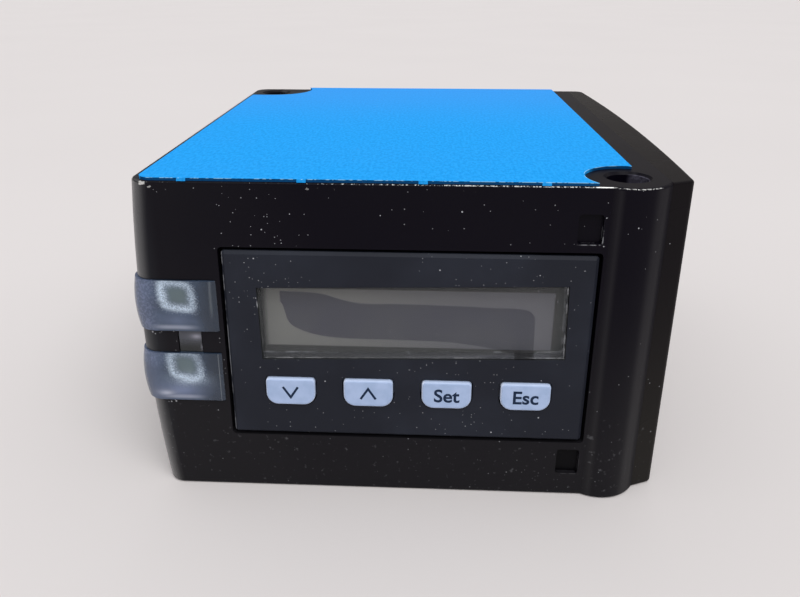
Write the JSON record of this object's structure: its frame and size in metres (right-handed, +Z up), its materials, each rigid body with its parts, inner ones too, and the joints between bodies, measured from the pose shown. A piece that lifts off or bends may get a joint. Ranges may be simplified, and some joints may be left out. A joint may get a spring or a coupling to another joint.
{
  "type": "optical distance sensor",
  "caption": "Box-shaped laser distance sensor with die-cast housing, blue side plate, display panel with keys, corner status lamps, optical front window and round cable connector.",
  "frame": {"origin": "middle of the resting side face", "axes": "+X along the measuring beam, -Y towards the display and keys, +Y towards the cable connector, +Z up out of the blue side plate"},
  "size_m": [0.0581, 0.0753, 0.036],
  "materials": {
    "black_casting": "satin black coat",
    "blue_plate": "satin blue coat",
    "dark_window": "polished dark acrylic",
    "black_rubber": "matt",
    "steel_screw": "zinc plated",
    "black_moulding": "matt",
    "clear_glass": "polished",
    "metal_can": "plated",
    "green_board": "solder mask",
    "chips": "moulded",
    "panel": "fine matt",
    "lcd": "grey green",
    "backlight": "milky",
    "key": "satin",
    "plunger": "satin",
    "lamp_lens": "frosted",
    "flex": "film",
    "socket": "moulded",
    "nickel": "nickel plated",
    "contact": "gold plated"
  },
  "bodies": {
    "sensor": {"board_header": "black_moulding", "collimator_lens": "clear_glass", "connector_board": "green_board", "connector_flex": "flex", "connector_insert": "black_moulding", "connector_nut": "nickel", "connector_pins": "contact", "connector_seal": "black_rubber", "connector_shell": "nickel", "display_board": "green_board", "display_board_screws": "steel_screw", "display_flex": "flex", "display_panel": "panel", "display_seal": "black_rubber", "display_window": "clear_glass", "flex_sockets": "socket", "front_cover": "black_casting", "front_cover_screws": "steel_screw", "front_seal": "black_rubber", "front_window": "dark_window", "housing": "black_casting", "key_switches": "black_moulding", "laser_board": "green_board", "laser_board_screws": "steel_screw", "laser_diode": "metal_can", "laser_flex": "flex", "lcd_backlight": "backlight", "lcd_glass": "lcd", "main_board": "green_board", "main_board_components": "chips", "main_board_screws": "steel_screw", "optical_filter": "clear_glass", "optics_carrier": "black_moulding", "photodetector": "metal_can", "receiver_board": "green_board", "receiver_board_screws": "steel_screw", "receiver_lens": "clear_glass", "shield_can": "metal_can", "side_plate": "blue_plate", "status_leds": "backlight", "status_lens": "lamp_lens"},
    "key_down_set": {"key_down": "key", "plunger_down": "plunger"},
    "key_up_set": {"key_up": "key", "plunger_up": "plunger"},
    "key_set_set": {"key_set": "key", "plunger_set": "plunger"},
    "key_esc_set": {"key_esc": "key", "plunger_esc": "plunger"}
  },
  "joints": [
    {"name": "key_down_press", "type": "slide", "parent": "sensor", "child": "key_down_set", "axis": [0, 1, 0], "range_m": [0, 0.0004], "stiffness_N_per_m": 1500},
    {"name": "key_up_press", "type": "slide", "parent": "sensor", "child": "key_up_set", "axis": [0, 1, 0], "range_m": [0, 0.0004], "stiffness_N_per_m": 1500},
    {"name": "key_set_press", "type": "slide", "parent": "sensor", "child": "key_set_set", "axis": [0, 1, 0], "range_m": [0, 0.0004], "stiffness_N_per_m": 1500},
    {"name": "key_esc_press", "type": "slide", "parent": "sensor", "child": "key_esc_set", "axis": [0, 1, 0], "range_m": [0, 0.0004], "stiffness_N_per_m": 1500}
  ]
}
